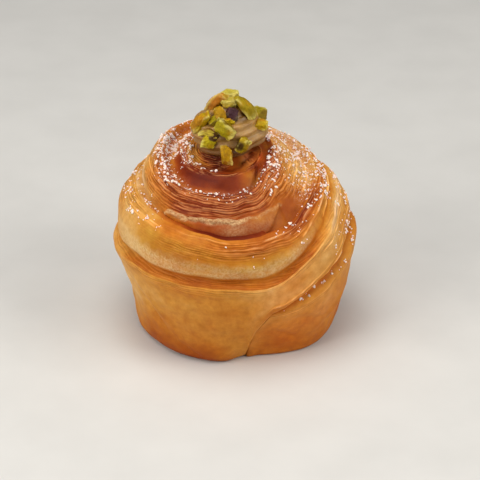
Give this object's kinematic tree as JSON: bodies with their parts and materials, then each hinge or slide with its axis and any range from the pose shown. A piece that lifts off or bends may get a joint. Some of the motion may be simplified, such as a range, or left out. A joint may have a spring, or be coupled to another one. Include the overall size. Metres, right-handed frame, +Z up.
{
  "type": "cruffin",
  "caption": "Coiled laminated pastry baked in a deep muffin tin, with a piped rosette of cream and chopped pistachios on the eye of the coil.",
  "frame": {"origin": "middle of the flat base that the pastry stands on", "axes": "+Z up out of the eye of the coil; -Y is the front, where the outer end of the dough shows; +X to the right seen from the front"},
  "size_m": [0.0885, 0.0848, 0.0927],
  "materials": {
    "baked_crust": "golden brown baked laminated dough, satin, flaky along the layers, lightly dusted with icing sugar",
    "pistachio_cream": "light brown piped cream with green and golden pieces of pistachio"
  },
  "bodies": {
    "root": {"pastry": "baked_crust", "cream": "pistachio_cream"}
  },
  "joints": []
}
